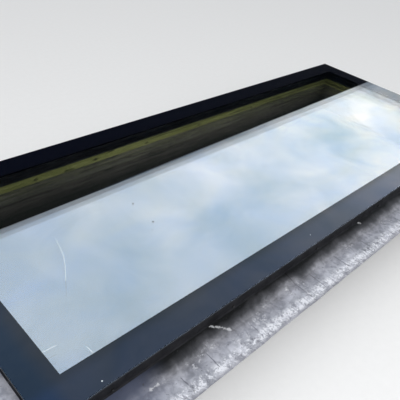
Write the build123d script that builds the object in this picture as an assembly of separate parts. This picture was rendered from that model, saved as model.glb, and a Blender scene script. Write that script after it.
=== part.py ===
from build123d import *
import os
from functools import cache
from math import ceil

# A fixed, flush-glazed roof skylight on its timber kerb, with the lead flashing dressed round it.
# The glass lies level. X runs along the eaves, Y up the slope and Z is up from the foot of the kerb.
# Most pieces run round the four sides, so each is drawn as a section in (s, z): s is the distance
# outwards from the edge of the clear glass, and z is the height above the foot of the kerb.
# All lengths are in millimetres.

# Clear glass and its border
clear_length = 3000.0
clear_width = 1040.0
border_width = 120.0

# Stepped triple-glazed unit
outer_pane_thickness = 6.0
outer_pane_arris = 0.8
enamel_thickness = 0.2
enamel_clearance = 0.1
cavity_height = 16.0
middle_pane_thickness = 4.0
ply_thickness = 4.0
interlayer_thickness = 0.76
inner_pane_bite = 50.0
spacer_width = 7.0
spacer_wall = 0.8
spacer_shoulder = 1.6
butyl_thickness = 0.4
butyl_width = 5.0
edge_sealant_width = 7.0
key_leg = 40.0
key_clearance = 0.2

# Aluminium frame
glass_overhang = 17.0
frame_wall = 2.0
frame_web = 1.6
outer_frame_width = 32.0
break_wall = 4.0
inner_chamber_width = 11.4
drip_leg_depth = 28.0
drip_nose = 4.0
drip_nose_rise = 4.0
shelf_thickness = 4.0
shelf_setback = 1.0
upstand_height = 37.0
upstand_wall = 4.0
setting_gap = 2.0
cleat_leg = 70.0
cleat_clearance = 0.25

# Thermal break strips
strip_web = 1.8
strip_foot = 3.2
strip_grip = 2.0
lower_strip_rise = 3.0
upper_strip_rise = 30.0

# Bond, tapes and gaskets
bond_height = 6.0
bond_tape_width = 6.0
silicone_width = 20.0
bond_margin = 3.0
bead_reach = 8.0
bead_drop = 14.0
bead_cove = 0.4
glazing_tape_thickness = 3.0
glazing_tape_start = 30.0
glazing_tape_width = 12.0
inner_gasket_start = 2.0
inner_gasket_width = 9.0
inner_gasket_round = 1.2
block_length = 100.0
block_height = 32.0

# Kerb
kerb_start = 19.0
board_thickness = 38.0
board_height = 195.0
plate_width = 76.0
plate_height = 50.0
timber_arris = 1.5
kerb_seal_thickness = 3.0
kerb_seal_width = 20.0
kerb_seal_inset = 2.0
seal_rib_count = 3
seal_rib_width = 2.4
seal_rib_height = 1.5

# Fixings
fastener_sides = 8
screw_point = 0.6
frame_screw_pitch = 600.0
frame_screw_end = 220.0
frame_screw_drop = 14.0
frame_screw_diameter = 5.5
frame_screw_length = 55.0
frame_screw_head = 11.0
frame_screw_head_height = 3.2
frame_screw_head_rim = 1.6
frame_screw_crown = 6.6
washer_diameter = 14.0
washer_thickness = 2.0
washer_bevel = 2.0
plate_screw_pitch = 900.0
plate_screw_end = 150.0
plate_screw_diameter = 6.0
plate_screw_length = 110.0
plate_screw_head = 12.0
board_screw_diameter = 6.0
board_screw_length = 120.0
board_screw_head = 12.0
board_screw_rows = 2
screw_clearance = 0.3
rafter_bolt_hole = 14.0
rafter_bolt_spacing = 600.0
rafter_bolt_centre = 97.5

# Lead flashing
lead_thickness = 2.24
lead_upstand_drop = 32.0
lead_crease_reach = 40.0
lead_crease_drop = 112.0
lead_reach = 155.0
lead_bend = 7.0
lap_clearance = 0.3
apron_middle_length = 1000.0
apron_lap = 190.0
welt_width = 22.0
welt_gap = 2.2
welt_bend = 3.2

# Heights built up from the foot of the kerb
kerb_top = board_height + plate_height
frame_base = kerb_top + kerb_seal_thickness
shelf_top = frame_base + shelf_thickness
unit_base = shelf_top + glazing_tape_thickness
interlayer_base = unit_base + ply_thickness
upper_ply_base = interlayer_base + interlayer_thickness
cavity_base = upper_ply_base + ply_thickness
middle_pane_base = cavity_base + cavity_height
upper_cavity_base = middle_pane_base + middle_pane_thickness
pane_base = upper_cavity_base + cavity_height
pane_top = pane_base + outer_pane_thickness
enamel_base = pane_base - enamel_clearance - enamel_thickness
frame_top = enamel_base - bond_height

# Distances outwards from the edge of the clear glass
frame_face = border_width - glass_overhang
outer_frame_start = frame_face - outer_frame_width
chamber_start = outer_frame_start + break_wall
web_start = chamber_start + inner_chamber_width
chamber_end = frame_face - frame_wall
silicone_start = outer_frame_start + bond_margin + bond_tape_width
silicone_end = silicone_start + silicone_width
upstand_start = inner_pane_bite + setting_gap
upstand_face = upstand_start + upstand_wall
seal_start = inner_pane_bite - edge_sealant_width
spacer_start = seal_start - spacer_width
kerb_face = kerb_start + plate_width
flashing_edge = border_width + lead_reach
lead_crease = border_width + lead_crease_reach
lead_flat_top = pane_top - lead_crease_drop
far_out = flashing_edge + 50.0
far_in = -100.0

# The floor and roof of the lower and upper cavities
CAVITIES = ((cavity_base, middle_pane_base), (upper_cavity_base, enamel_base))

SIDES = {
    "front": ((0, -1, 0), (0, -clear_width / 2, 0), clear_length),
    "back": ((0, 1, 0), (0, clear_width / 2, 0), clear_length),
    "left": ((-1, 0, 0), (-clear_length / 2, 0, 0), clear_width),
    "right": ((1, 0, 0), (clear_length / 2, 0, 0), clear_width),
}


def section_plane(side):
    """The plane of a side's section: local x runs outwards and local y runs up."""
    outward, origin, _ = SIDES[side]
    along = Vector(*outward).cross(Vector(0, 0, 1))
    return Plane(origin=origin, x_dir=outward, z_dir=along)


def along_side(side, distance, s, z):
    """The point at a distance from the middle of a side, s outwards and z up."""
    return section_plane(side).from_local_coords(Vector(s, z, distance))


def block(s_inner, s_outer, z_low, z_high):
    """A rectangle of a section, from s_inner to s_outer and z_low to z_high."""
    centre = ((s_inner + s_outer) / 2, (z_low + z_high) / 2)
    return Pos(*centre) * Rectangle(s_outer - s_inner, z_high - z_low)


def outline(*points):
    """A filled outline of a section through the points given."""
    return make_face(Polyline(*points, close=True))


def mitre_wedge(side):
    """The space over one side between the 45 degree mitres of its two corners."""
    outward, origin, length = SIDES[side]
    along = section_plane(side).z_dir
    corners = [Vector(*origin) + Vector(*outward) * s + along * end * (length / 2 + s)
               for s, end in ((far_in, -1), (far_in, 1), (far_out, 1), (far_out, -1))]
    return extrude(make_face(Polyline(*corners, close=True)), pane_top * 2, dir=(0, 0, 1))


def mitred_bar(side, section):
    """A section run along one side and mitred at both corners."""
    _, _, length = SIDES[side]
    bar = extrude(section_plane(side) * section, length / 2 + far_out, both=True)
    return bar & mitre_wedge(side)


def mitred_ring(section):
    """A section run round all four sides as one piece."""
    ring = mitred_bar("front", section)
    for side in ("right", "back", "left"):
        ring += mitred_bar(side, section)
    return ring


def slab(s, z_low, z_high):
    """A rectangular plate whose edge lies s outside the clear glass."""
    size = (clear_length + 2 * s, clear_width + 2 * s, z_high - z_low)
    return Pos(0, 0, z_low) * Box(*size, align=(Align.CENTER, Align.CENTER, Align.MIN))


def band(s_inner, s_outer, z_low, z_high):
    """A flat rectangular ring between two distances from the clear glass."""
    return slab(s_outer, z_low, z_high) - slab(s_inner, z_low, z_high)


def corner_pieces(s_inner, s_outer, z_low, z_high, leg):
    """Four L-shaped pieces that follow the corners of a band, each leg long."""
    reach_x = clear_length / 2 + s_outer
    reach_y = clear_width / 2 + s_outer
    corners = [Pos(x * (reach_x - leg / 2), y * (reach_y - leg / 2), (z_low + z_high) / 2)
               for x in (-1, 1) for y in (-1, 1)]
    window = Part() + [corner * Box(leg, leg, z_high - z_low) for corner in corners]
    return band(s_inner, s_outer, z_low, z_high) & window


def spread(length, pitch, end):
    """Evenly spaced distances along a side, none further apart than the pitch."""
    run = length - 2 * end
    gaps = ceil(run / pitch)
    return [-run / 2 + run * index / gaps for index in range(gaps + 1)]


def outward_frame(side, distance, s, z):
    """A location on a side whose local z axis points outwards."""
    outward, _, _ = SIDES[side]
    return Plane(origin=along_side(side, distance, s, z), z_dir=outward).location


# Glass unit


def outer_pane():
    """The toughened outer pane, with its arrises taken off all round."""
    pane = slab(border_width, pane_base, pane_top)
    return chamfer(pane.edges(), outer_pane_arris)


def enamel_border():
    """The fired enamel on the underside of the outer pane."""
    return band(0, border_width - 2 * outer_pane_arris, enamel_base, enamel_base + enamel_thickness)


def spacer_section(floor, roof):
    """A hollow spacer bar between two panes, with shoulders on its outer side."""
    low = floor + butyl_thickness
    high = roof - butyl_thickness
    back = seal_start
    shell = outline((spacer_start, low), (back - spacer_shoulder, low), (back, low + spacer_shoulder),
                    (back, high - spacer_shoulder), (back - spacer_shoulder, high), (spacer_start, high))
    return shell - offset(shell, -spacer_wall)


def spacer_corner_keys():
    """Plastic keys that plug the spacer bars together at the corners."""
    slip = spacer_wall + key_clearance
    inset = butyl_thickness + spacer_shoulder + slip
    inner, outer = spacer_start + slip, seal_start - slip
    return Part() + [corner_pieces(inner, outer, floor + inset, roof - inset, key_leg)
                     for floor, roof in CAVITIES]


def butyl_seals():
    """The thin primary seals, between the spacers and the panes below and above them."""
    middle = (spacer_start + seal_start - spacer_shoulder) / 2
    inner = middle - butyl_width / 2
    outer = middle + butyl_width / 2
    seals = []
    for floor, roof in CAVITIES:
        seals.append(band(inner, outer, floor, floor + butyl_thickness))
        seals.append(band(inner, outer, roof - butyl_thickness, roof))
    return Part() + seals


def edge_sealant():
    """The secondary seal that fills the edge of each cavity behind its spacer."""
    return Part() + [band(seal_start, inner_pane_bite, floor, roof) for floor, roof in CAVITIES]


# Aluminium frame


def strip_notch(s, z, direction):
    """The dovetail notch in a profile that grips the foot of a strip."""
    deep = s + direction * strip_grip
    return outline((s, z - strip_web / 2), (deep, z - strip_foot / 2),
                   (deep, z + strip_foot / 2), (s, z + strip_web / 2))


def strip_section(z):
    """A thermal break strip: a thin web with a dovetail foot in each profile."""
    web = block(upstand_face, outer_frame_start, z - strip_web / 2, z + strip_web / 2)
    inner_foot = strip_notch(upstand_face, z, -1)
    outer_foot = strip_notch(outer_frame_start, z, 1)
    return web + inner_foot + outer_foot


def outer_frame_section():
    """The outer aluminium profile: two chambers, a drip leg and the grips for the strips."""
    profile = block(outer_frame_start, frame_face, frame_base, frame_top)
    for inner, outer in ((chamber_start, web_start), (web_start + frame_web, chamber_end)):
        profile -= block(inner, outer, frame_base + frame_wall, frame_top - frame_wall)
    for rise in (lower_strip_rise, upper_strip_rise):
        profile -= strip_notch(outer_frame_start, frame_base + rise, 1)
    foot = frame_base - drip_leg_depth
    leg = outline((chamber_end, frame_base), (chamber_end, foot), (frame_face + drip_nose, foot),
                  (frame_face + drip_nose, foot + frame_wall / 2), (frame_face, foot + drip_nose_rise),
                  (frame_face, frame_base))
    return profile + leg


def outer_frame(side):
    """One side of the outer frame, drilled for its screws."""
    bar = mitred_bar(side, outer_frame_section())
    return bar - [place * frame_screw(screw_clearance) for place in frame_screw_places(side)]


def inner_frame_section():
    """The inner aluminium profile: a shelf under the glass unit and an upstand beside it."""
    shelf = block(shelf_setback, upstand_face, frame_base, shelf_top)
    nose = shelf.vertices().group_by(Axis.X)[0]
    shelf = fillet(nose, shelf_thickness / 4)
    upstand = block(upstand_start, upstand_face, frame_base, frame_base + upstand_height)
    profile = shelf + upstand
    for rise in (lower_strip_rise, upper_strip_rise):
        profile -= strip_notch(upstand_face, frame_base + rise, -1)
    return profile


def corner_cleats():
    """Cast blocks that join the outer profiles inside their outer chamber."""
    return corner_pieces(web_start + frame_web + cleat_clearance, chamber_end - cleat_clearance,
                         frame_base + frame_wall + cleat_clearance,
                         frame_top - frame_wall - cleat_clearance, cleat_leg)


def bond_tape():
    """The foam tape that sets the height of the bond."""
    return band(silicone_start - bond_tape_width, silicone_start, frame_top, enamel_base)


def structural_silicone():
    """The silicone that bonds the overhanging glass to the frame."""
    return band(silicone_start, silicone_end, frame_top, enamel_base)


def weather_seal():
    """A coved bead in the angle between the frame's face and the glass."""
    tip = (frame_face + bead_reach, enamel_base)
    toe = (frame_face, enamel_base - bead_drop)
    sag = (frame_face + bead_reach * bead_cove, enamel_base - bead_drop * bead_cove)
    corner = (silicone_end, enamel_base)
    back = Polyline(toe, (frame_face, frame_top), (silicone_end, frame_top), corner, tip)
    return mitred_ring(make_face([back, ThreePointArc(tip, sag, toe)]))


def glazing_tape():
    """The tape that the inner pane is bedded on."""
    return band(glazing_tape_start, glazing_tape_start + glazing_tape_width, shelf_top, unit_base)


def inner_gasket():
    """The rounded rubber lip between the shelf and the inner pane, seen from inside."""
    lip = block(inner_gasket_start, inner_gasket_start + inner_gasket_width, shelf_top, unit_base)
    return mitred_ring(fillet(lip.vertices().group_by(Axis.X)[0], inner_gasket_round))


def setting_blocks():
    """Plastic blocks that hold the inner panes' edges at the quarter points of each side."""
    section = block(inner_pane_bite, upstand_start, shelf_top, shelf_top + block_height)
    blocks = []
    for side, (_, _, length) in SIDES.items():
        plane = section_plane(side)
        for distance in (-length / 4, length / 4):
            piece = extrude(plane * section, block_length / 2, both=True)
            blocks.append(Pos(plane.z_dir * distance) * piece)
    return Part() + blocks


# Kerb


def kerb_seal(start):
    """A rubber strip with ribs on its underside, between the frame and the kerb."""
    strip = block(start, start + kerb_seal_width, kerb_top + seal_rib_height, frame_base)
    rib_pitch = (kerb_seal_width - seal_rib_width) / (seal_rib_count - 1)
    for index in range(seal_rib_count):
        rib = start + index * rib_pitch
        strip += block(rib, rib + seal_rib_width, kerb_top, kerb_top + seal_rib_height)
    return mitred_ring(strip)


def timber(side, s_inner, s_outer, z_low, z_high, full_width):
    """A straight timber along one side; it runs past the corners where full_width is true."""
    _, _, length = SIDES[side]
    run = length + 2 * (s_outer if full_width else s_inner)
    section = block(s_inner, s_outer, z_low, z_high)
    beam = extrude(section_plane(side) * section, run / 2, both=True)
    return chamfer(beam.edges(), timber_arris)


def kerb_plate(side):
    """A treated plate on top of the doubled boards, drilled for its screws and the frame's."""
    plate = timber(side, kerb_start, kerb_face, board_height, kerb_top, side in ("front", "back"))
    plate -= [place * plate_screw(screw_clearance) for place in plate_screw_places(side)]
    return plate - [place * frame_screw(screw_clearance) for place in frame_screw_places(side)]


def kerb_board(side, ply):
    """One of the two boards of a side, with its bolt holes and pilot holes."""
    inner = kerb_start if ply == "inner" else kerb_start + board_thickness
    runs_past = (side in ("front", "back")) == (ply == "inner")
    board = timber(side, inner, inner + board_thickness, 0, board_height, runs_past)
    if side in ("left", "right"):
        board -= rafter_bolt_holes(side)
    if ply == "inner":
        board -= [place * plate_screw(screw_clearance) for place in plate_screw_places(side)]
    if runs_past:
        board -= [place * board_screw(screw_clearance) for place in board_screw_places()]
    return board


def rafter_bolt_holes(side):
    """Two holes through both boards of a side, for the bolts to the rafter."""
    hole = Cylinder(rafter_bolt_hole / 2, board_thickness * 3)
    joint = kerb_start + board_thickness
    return [outward_frame(side, end * rafter_bolt_spacing / 2, joint, rafter_bolt_centre) * hole
            for end in (-1, 1)]


# Fixings


def turned(profile):
    """A many-sided fastener through the (radius, height) steps of its profile, from the foot up."""
    solid = Part()
    for (lower_radius, low), (upper_radius, high) in zip(profile, profile[1:]):
        if high > low:
            foot = Pos(0, 0, low) * RegularPolygon(lower_radius, fastener_sides)
            head = Pos(0, 0, high) * RegularPolygon(upper_radius, fastener_sides)
            solid += loft([foot, head], ruled=True)
    return solid


@cache
def frame_screw(clearance=0.0):
    """A pan-head screw, its head's underside at zero and its shank running down."""
    shank = frame_screw_diameter / 2 + clearance
    tip = -frame_screw_length - clearance
    return turned([(screw_point, tip), (shank, tip + frame_screw_diameter), (shank, 0),
                   (frame_screw_head / 2, 0), (frame_screw_head / 2, frame_screw_head_rim),
                   (frame_screw_crown / 2, frame_screw_head_height)])


def countersunk_screw(diameter, length, head, clearance):
    """A wood screw with its flat head flush at zero and its shank running down."""
    shank = diameter / 2 + clearance
    rim = head / 2 + clearance
    tip = -length - clearance
    return turned([(screw_point, tip), (shank, tip + diameter), (shank, shank - rim), (rim, 0)])


def frame_screw_places(side):
    """Where the frame's screws pass through the washers of one side."""
    _, _, length = SIDES[side]
    s = frame_face + washer_thickness
    z = frame_base - frame_screw_drop
    run = length + 2 * frame_face
    return [outward_frame(side, distance, s, z)
            for distance in spread(run, frame_screw_pitch, frame_screw_end)]


def frame_screws():
    """All the screws through the drip leg."""
    return Part() + [place * frame_screw() for side in SIDES for place in frame_screw_places(side)]


def frame_screw_washers():
    """Rubber-faced washers under the frame screws' heads."""
    bore = frame_screw_diameter / 2 + screw_clearance
    rim = washer_diameter / 2
    foot = -washer_thickness
    washer = turned([(rim, foot), (rim - washer_bevel, 0)])
    washer -= turned([(bore, foot), (bore, 0)])
    return Part() + [place * washer for side in SIDES for place in frame_screw_places(side)]


@cache
def plate_screw(clearance=0.0):
    """A screw that holds a plate down."""
    return countersunk_screw(plate_screw_diameter, plate_screw_length, plate_screw_head, clearance)


def plate_screw_places(side):
    """Where the screws go down through a plate into its inner board."""
    _, _, length = SIDES[side]
    return [Pos(along_side(side, distance, kerb_start + board_thickness / 2, kerb_top))
            for distance in spread(length, plate_screw_pitch, plate_screw_end)]


def plate_screws():
    """All the screws that hold the plates down."""
    return Part() + [place * plate_screw() for side in SIDES for place in plate_screw_places(side)]


@cache
def board_screw(clearance=0.0):
    """A screw that ties a corner of the boards together."""
    return countersunk_screw(board_screw_diameter, board_screw_length, board_screw_head, clearance)


def board_screw_places():
    """Where the corner screws enter the outer face of the side boards."""
    places = []
    for side in ("left", "right"):
        for end in (-1, 1):
            distance = end * (clear_width / 2 + kerb_start + board_thickness / 2)
            for row in range(board_screw_rows):
                height = board_height * (row + 1) / (board_screw_rows + 1)
                places.append(outward_frame(side, distance, kerb_start + 2 * board_thickness, height))
    return places


def board_screws():
    """All the corner screws of the boards."""
    return Part() + [place * board_screw() for place in board_screw_places()]


# Lead flashing


def flashing_section(welted=False, raised=0.0):
    """A lead sheet bent up the kerb, down a slope and out flat, with a folded welt if it has one."""
    flat = lead_flat_top - lead_thickness
    fold = flat + 2 * lead_thickness + welt_gap
    points = [(kerb_face, kerb_top), (kerb_face, kerb_top - lead_upstand_drop),
              (lead_crease, flat), (flashing_edge, flat)]
    bends = [lead_bend, lead_bend]
    if welted:
        points += [(flashing_edge, fold), (flashing_edge - welt_width, fold)]
        bends += [welt_bend, welt_bend]
    underside = FilletPolyline(*points, radius=bends)
    sheet = make_face(offset(underside, raised + lead_thickness, side=Side.LEFT, closed=True))
    if raised:
        sheet -= make_face(offset(underside, raised, side=Side.LEFT, closed=True))
    return sheet


def flashing(side, welted):
    """The lead along one side, mitred at the corners and holed for the frame's screws."""
    sheet = mitred_bar(side, flashing_section(welted))
    return sheet - [place * frame_screw(screw_clearance) for place in frame_screw_places(side)]


def apron_end(direction):
    """An outer length of the apron, from its mitred corner to its lap under the middle length."""
    lap_end = apron_middle_length / 2 - apron_lap
    cut = Plane(origin=(direction * lap_end, 0, 0), z_dir=(direction, 0, 0))
    return split(flashing("front", False), bisect_by=cut, keep=Keep.TOP)


def apron_middle():
    """The middle length of the apron, laid over the ends of its neighbours."""
    section = flashing_section(raised=lead_thickness + lap_clearance)
    sheet = extrude(section_plane("front") * section, apron_middle_length / 2, both=True)
    return sheet - [place * frame_screw(screw_clearance) for place in frame_screw_places("front")]


# The pieces


def glass_pieces():
    """The sealed glass unit."""
    pieces = {
        "outer_pane": outer_pane(),
        "enamel_border": enamel_border(),
        "middle_pane": slab(inner_pane_bite, middle_pane_base, upper_cavity_base),
        "inner_ply_upper": slab(inner_pane_bite, upper_ply_base, cavity_base),
        "laminate_interlayer": slab(inner_pane_bite, interlayer_base, upper_ply_base),
        "inner_ply_lower": slab(inner_pane_bite, unit_base, interlayer_base),
        "spacer_corner_keys": spacer_corner_keys(),
        "butyl_seals": butyl_seals(),
        "edge_sealant": edge_sealant(),
    }
    for side in SIDES:
        for name, cavity in zip(("lower_spacer", "spacer"), CAVITIES):
            pieces[f"{name}_{side}"] = mitred_bar(side, spacer_section(*cavity))
    return pieces


def frame_pieces():
    """The aluminium frame with its seals and screws."""
    pieces = {
        "corner_cleats": corner_cleats(),
        "bond_tape": bond_tape(),
        "structural_silicone": structural_silicone(),
        "weather_seal": weather_seal(),
        "glazing_tape": glazing_tape(),
        "inner_gasket": inner_gasket(),
        "setting_blocks": setting_blocks(),
        "frame_screws": frame_screws(),
        "frame_screw_washers": frame_screw_washers(),
    }
    strips = [strip_section(frame_base + rise) for rise in (lower_strip_rise, upper_strip_rise)]
    for side in SIDES:
        pieces[f"outer_frame_{side}"] = outer_frame(side)
        pieces[f"inner_frame_{side}"] = mitred_bar(side, inner_frame_section())
        pieces[f"thermal_break_{side}"] = Part() + [mitred_bar(side, strip) for strip in strips]
    return pieces


def kerb_pieces():
    """The timber kerb with its seals and screws."""
    pieces = {
        "inner_kerb_seal": kerb_seal(kerb_start + kerb_seal_inset),
        "outer_kerb_seal": kerb_seal(kerb_face - kerb_seal_inset - kerb_seal_width),
        "plate_screws": plate_screws(),
        "board_screws": board_screws(),
    }
    for side in SIDES:
        pieces[f"kerb_plate_{side}"] = kerb_plate(side)
        for ply in ("inner", "outer"):
            pieces[f"kerb_board_{side}_{ply}"] = kerb_board(side, ply)
    return pieces


def flashing_pieces():
    """The lead flashing."""
    return {
        "apron_left": apron_end(-1),
        "apron_middle": apron_middle(),
        "apron_right": apron_end(1),
        "side_flashing_left": flashing("left", True),
        "side_flashing_right": flashing("right", True),
        "back_gutter": flashing("back", True),
    }


def main():
    """Write every piece to its own file."""
    os.makedirs("parts", exist_ok=True)
    pieces = {**glass_pieces(), **frame_pieces(), **kerb_pieces(), **flashing_pieces()}
    for name, piece in pieces.items():
        export_step(piece, f"parts/{name}.step")


main()
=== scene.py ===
import bpy
from math import cos, pi, radians, sin
from mathutils import Matrix, Vector, noise


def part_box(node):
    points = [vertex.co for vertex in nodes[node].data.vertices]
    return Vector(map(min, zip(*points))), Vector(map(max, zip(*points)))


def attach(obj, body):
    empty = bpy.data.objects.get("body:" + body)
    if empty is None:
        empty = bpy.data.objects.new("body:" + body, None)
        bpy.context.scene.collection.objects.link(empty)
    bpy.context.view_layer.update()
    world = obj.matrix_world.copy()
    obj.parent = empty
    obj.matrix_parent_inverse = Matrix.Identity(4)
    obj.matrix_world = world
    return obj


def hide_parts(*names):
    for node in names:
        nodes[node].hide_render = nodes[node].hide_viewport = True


# A fixed, flush-glazed roof skylight with its kerb and lead flashing, in metres.
# X runs along the eaves, Y up the slope and Z is up from the foot of the kerb.
# Sections are drawn in (s, z): s is the distance outwards from the edge of the clear glass.

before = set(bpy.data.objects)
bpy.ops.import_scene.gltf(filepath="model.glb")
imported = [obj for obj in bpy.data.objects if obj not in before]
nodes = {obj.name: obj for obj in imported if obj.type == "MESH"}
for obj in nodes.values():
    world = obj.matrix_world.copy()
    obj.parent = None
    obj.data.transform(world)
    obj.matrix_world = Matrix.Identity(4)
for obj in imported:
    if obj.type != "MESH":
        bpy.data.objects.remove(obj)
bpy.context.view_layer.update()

# Sizes read from the frame
glass_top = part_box("outer_pane")[1].z
kerb_half_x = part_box("kerb_plate_front")[1].x
lead_low, lead_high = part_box("side_flashing_left")

# Camera, solved from the straight edges of the glass
SENSOR_WIDTH = 36.0
LENS = 45.327
CAMERA_AT = Vector((-1.95359, -1.35018, glass_top + 1.32809))
CAMERA_FORWARD = Vector((0.61820, 0.53277, -0.57792))
CAMERA_UP = Vector((0.33469, 0.48684, 0.80683))
CAMERA_CLIP = (0.02, 100.0)

# The clear glass, and how far out from it the pane's upper face shows the enamel. The enamel
# itself reaches 1.4 mm further.
CLEAR_LENGTH = 3.0
CLEAR_WIDTH = 1.04
ENAMEL_REACH = 0.117

# The share of light that the faces of the unit reflect head on, and what shapes it
GLASS_REFLECTANCE = 0.052
COATING_REFLECTANCE = 0.06
MIDDLE_REFLECTANCE = 0.22
INNER_REFLECTANCE = 0.30
EDGE_REFLECTANCE = 0.95
GRAZE_POWER = 4.0
PANE_WAVE = 0.00006

# Colours of the glass, its cut edges, its enamel and the marks on it
GLASS_TINT = (0.985, 0.988, 0.990)
INTERLAYER_TINT = (0.995, 0.995, 0.995)
MIRROR_TONE = (0.97, 0.975, 1.0)
OUTER_EDGE = (0.046, 0.052, 0.062)
GREEN_EDGE = (0.030, 0.110, 0.085)
INTERLAYER_EDGE = (0.20, 0.22, 0.21)
# Painted shade along the inner edge of the enamel, darker than its body
ENAMEL_EDGE_SHADE = (0.0002, 0.0003, 0.0006)
ENAMEL_TONES = ((0.0002, 0.0008, 0.0048), (0.0004, 0.0012, 0.0062))
CHALK = (0.76, 0.84, 0.88)
SOIL = (0.10, 0.10, 0.10)

# The overcast sky and the dark wall that the glass reflects. Their places are slopes from the
# vertical: how far a ray goes along X and Y for each metre that it rises.
LEAST_RISE = 0.06
WALL_EDGE = 1.1442
WALL_SLANT = 0.02
WALL_COLOUR = (0.001, 0.002, 0.003)
SKY_TONES = ((0.69, 0.88, 1.09), (1.11, 1.25, 1.38), (1.47, 1.56, 1.59))
CALM_SKY = (0.76, 0.84, 0.94)
WHITE = (1.0, 1.0, 1.0)
SWIRL = 0.25

# What the clouds' lift and their warmth add to the red, green and blue of the sky
CLOUD_CHANNELS = ((1.32, 1.0), (0.92, 0.45), (0.65, -0.60))

# Two steps of brightness before the wall's edge. Each has its distance from the edge and how that
# grows along x, half its soft width, and the share of light past it at two places along x.
WALL_STEPS = ((0.030, 0.015, 0.004, (1.5, 2.4), (0.64, 0.88)),
              (0.015, 0.009, 0.003, (0.8, 1.8), (0.46, 0.70)))

# The sky's soft patches: place along x and y, size, and how much each lifts or lowers the light
CLOUDS = ((0.49, 0.77, 0.20, -0.24), (0.53, 0.64, 0.13, 0.22), (0.66, 0.79, 0.21, -0.48),
          (1.06, 0.72, 0.26, -0.38), (1.25, 0.88, 0.16, -0.12), (1.25, 1.07, 0.14, 0.36),
          (1.40, 0.86, 0.24, -0.12), (1.61, 0.65, 0.16, 0.22), (1.79, 1.07, 0.12, 0.20),
          (1.92, 0.92, 0.22, -0.32), (0.92, 0.82, 0.16, 0.16), (1.79, 0.84, 0.20, -0.25),
          (2.15, 1.03, 0.16, -0.16), (2.33, 0.98, 0.14, -0.08), (0.58, 1.17, 0.22, 0.13),
          (2.15, 0.80, 0.11, 0.12), (2.51, 1.13, 0.14, 0.12))

# Marks on the glass: the points and width of each pale scratch, then specks with their sizes
SCRATCHES = ((((-1.192, 0.004), (-1.205, -0.044), (-1.216, -0.085)), 0.0018),
             (((-1.216, -0.085), (-1.242, -0.137), (-1.279, -0.200)), 0.0022),
             (((-1.499, -0.421), (-1.455, -0.423)), 0.0026),
             (((-1.383, -0.490), (-1.382, -0.518)), 0.0026))
PALE_SPECKS = ((-1.418, -0.617, 0.0032), (-0.310, -0.590, 0.0024))
DARK_SPECKS = ((-0.801, 0.024, 0.0050), (-0.810, -0.124, 0.0056))

# Timbers: the colours of the light wood, the dark wood and the knots, and the heights between
# which painted shade darkens the boards towards their foot
GREEN_TIMBER = ((0.52, 0.54, 0.19), (0.31, 0.33, 0.09), (0.03, 0.03, 0.015))
DARK_TIMBER = ((0.210, 0.200, 0.165), (0.080, 0.077, 0.062), (0.008, 0.008, 0.007))
TIMBER_ROUGHNESS = 0.65
FOOT_SHADE_HEIGHTS = (0.02, 0.17)

# The knots of the green timber, as places along x and heights, and the squeeze along x in which
# they are round
KNOTS = ((-0.984, 0.212), (-0.815, 0.203), (-0.640, 0.214), (-0.294, 0.208), (0.120, 0.212),
         (0.620, 0.206))
KNOT_SQUEEZE = 0.6

# The section of the sheet lead
LEAD_THICKNESS = 0.00224
LEAD_BEND = 0.007
LEAD_UPSTAND = 0.032
LEAD_CREASE = 0.160
WELT_WIDTH = 0.022
WELT_GAP = 0.0022
WELT_BEND = 0.0032
LAP_CLEARANCE = 0.0003

# The mesh of a sheet: its steps along the side and along the section, where its length is taken,
# and the angle in degrees past which an edge is sharp
LEAD_STEP = 0.010
SECTION_STEP = 0.006
LENGTH_TAKEN_AT = 0.2
SHARP_ANGLE = 50

# Hand work on the lead, as waves for each metre, depth and a shift of the seed, and where it sets in
SEED = 7.3
DRESSING = ((4.5, 0.0030, 0.0), (24.0, 0.0011, 5.0), (70.0, 0.0004, 9.0))
DRESSED_FROM = (0.105, 0.150)
EDGE_WANDER = ((9.0, 0.0045, 0.0), (60.0, 0.0012, 3.0))
WANDERS_FROM = (0.22, 0.283)

# The lead's tones by how far out a point lies, as shares of LEAD_REACH: painted shade of the glass's
# overhang over darker sheltered lead near the glass, paler lead with patina further out
LEAD_REACH = 0.30
LEAD_SHADE_AND_TONES = ((0.40, (0.006, 0.006, 0.006)), (0.48, (0.060, 0.060, 0.066)),
              (0.56, (0.240, 0.240, 0.262)), (0.68, (0.330, 0.334, 0.372)),
              (0.80, (0.380, 0.386, 0.424)), (0.85, (0.500, 0.505, 0.545)),
              (0.93, (0.300, 0.300, 0.330)))
RIM_PATINA = (0.82, 0.82, 0.85)
RIM_DIRT = (0.09, 0.08, 0.10)
RIDGE_PATINA = (0.72, 0.72, 0.75)
SMEAR_PATINA = (0.74, 0.74, 0.77)
FOLD_SHADOW = (0.10, 0.10, 0.12)
DAMP_LEAD = (0.090, 0.105, 0.165)
BARE_LEAD = (0.72, 0.72, 0.74)
GRIME = (0.05, 0.05, 0.05)

# Marks on the lead: folds across it as places along x and lengths, the s of their middles, bright
# chips from point to point with their widths, and the middle of a damp patch
LEAD_FOLDS = ((-1.167, 0.040), (-1.034, 0.075), (-0.812, 0.045), (-0.404, 0.100), (-0.214, 0.090),
              (-0.006, 0.055), (0.310, 0.080), (0.560, 0.050), (0.870, 0.090), (1.120, 0.060),
              (1.390, 0.080))
FOLD_MIDDLE = 0.205
LEAD_CHIPS = (((-0.951, -0.622), (-0.922, -0.648), 0.0050), ((-0.912, -0.655), (-0.893, -0.674), 0.0055),
              ((-1.274, -0.679), (-1.243, -0.678), 0.0055), ((-1.003, -0.684), (-0.999, -0.688), 0.0040),
              ((0.068, -0.616), (0.092, -0.634), 0.0045))
DAMP_PATCH = (-1.38, -0.66, 0.0)

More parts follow.
